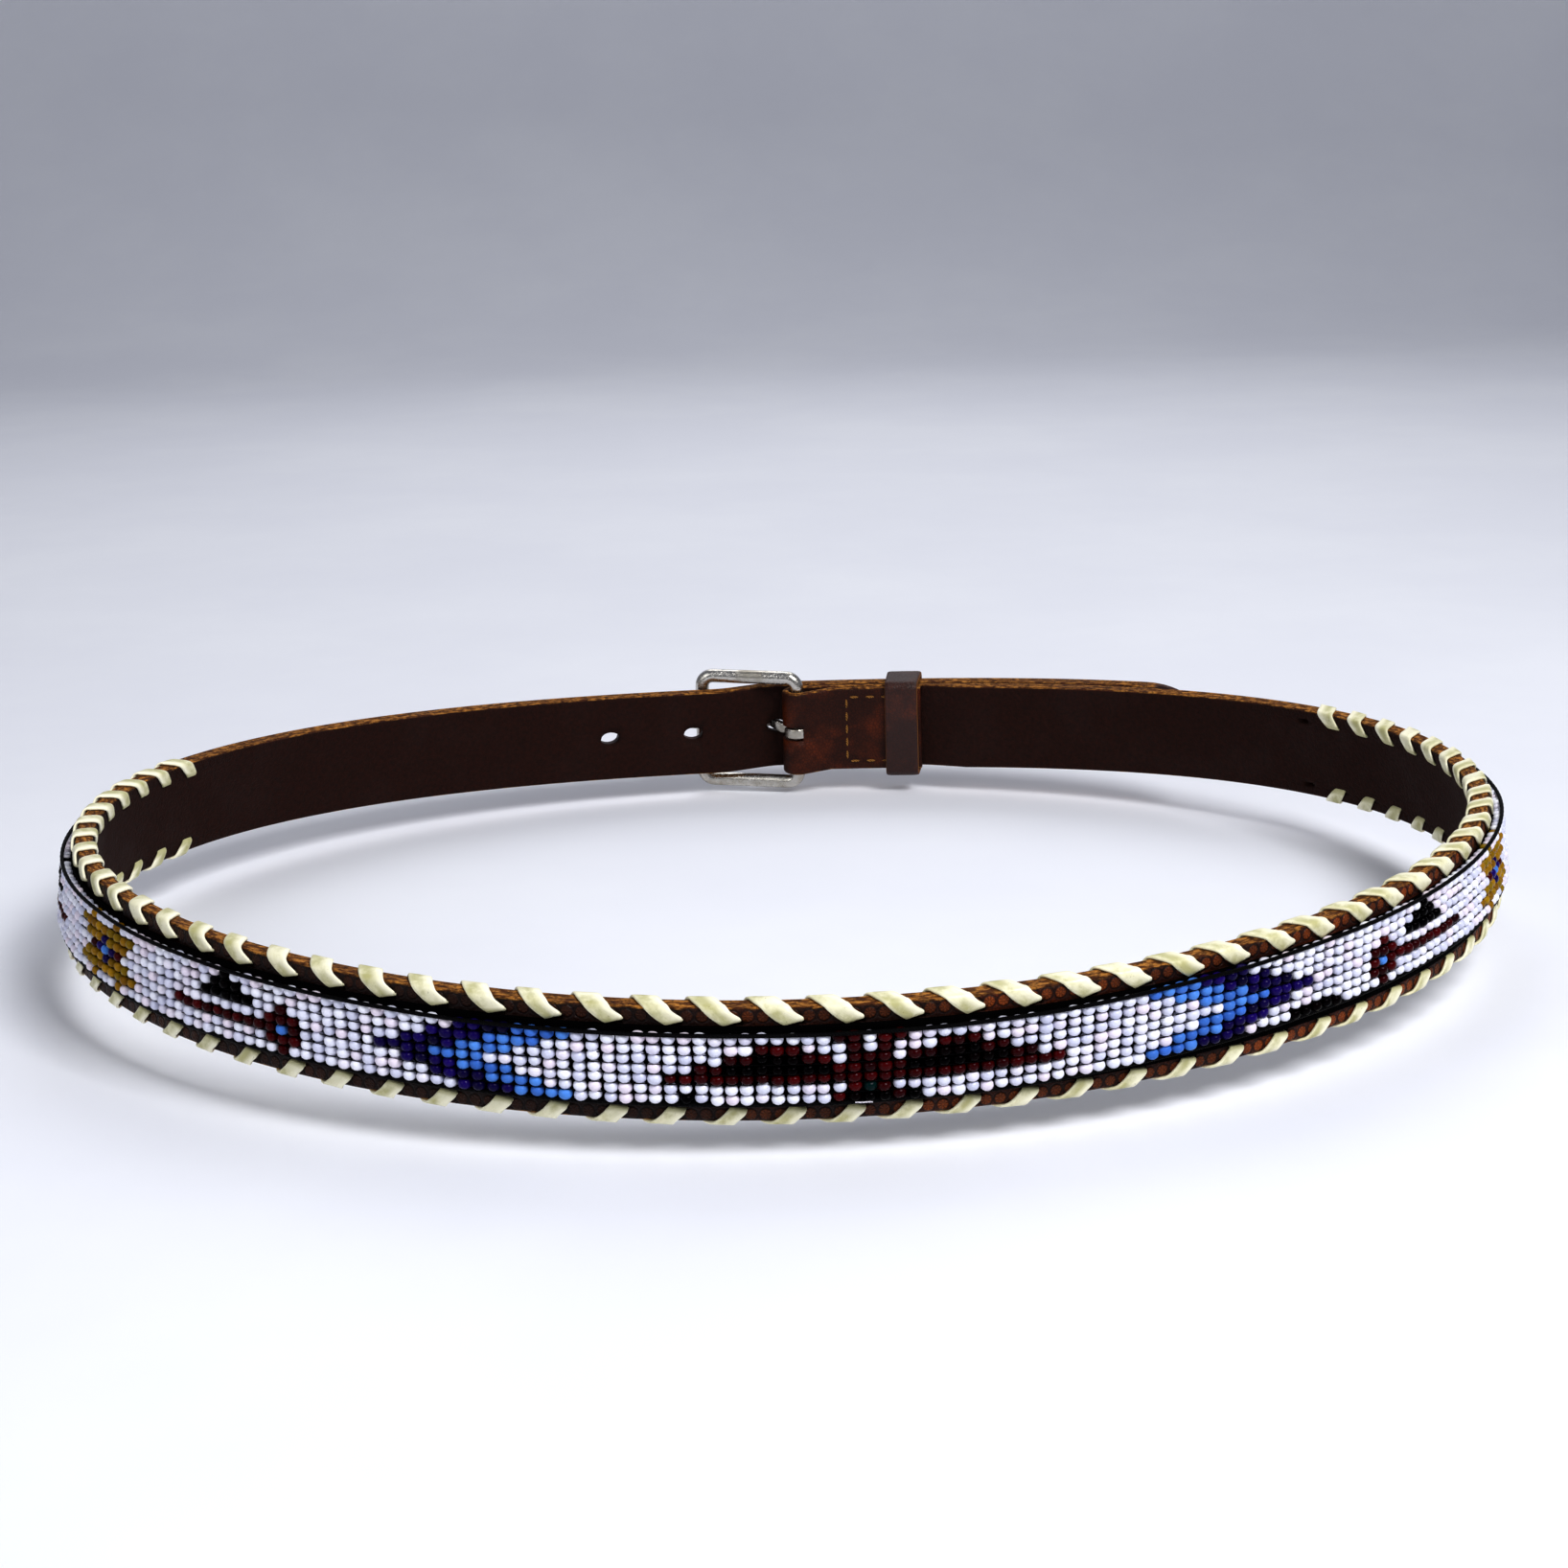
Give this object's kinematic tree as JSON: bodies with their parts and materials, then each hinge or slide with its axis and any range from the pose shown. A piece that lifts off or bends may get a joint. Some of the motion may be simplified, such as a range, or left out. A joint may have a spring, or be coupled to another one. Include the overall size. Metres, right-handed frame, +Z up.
{
  "type": "beaded leather belt",
  "caption": "Leather belt with a strip of loomed beadwork and whip-stitched laced edges, buckled at the back and held open in the round as it is worn.",
  "frame": {"origin": "middle of the belt's hollow, half way up its strap, where the wearer's hips are", "axes": "+Z up, X across the belt, with the middle of the beaded front at -Y and the buckle at +Y"},
  "size_m": [0.3545, 0.2906, 0.0396],
  "materials": {
    "leather": "dark red-brown harness leather, waxed grain",
    "beads": "opaque glass seed beads",
    "lace": "flat cream lace, semi-gloss",
    "metal": "plain nickel-coloured steel"
  },
  "bodies": {
    "root": {"strap": "leather", "bead_strip": "beads", "lace_top": "lace", "lace_bottom": "lace", "buckle_frame": "metal", "buckle_prong": "metal", "keeper": "leather"}
  },
  "joints": []
}
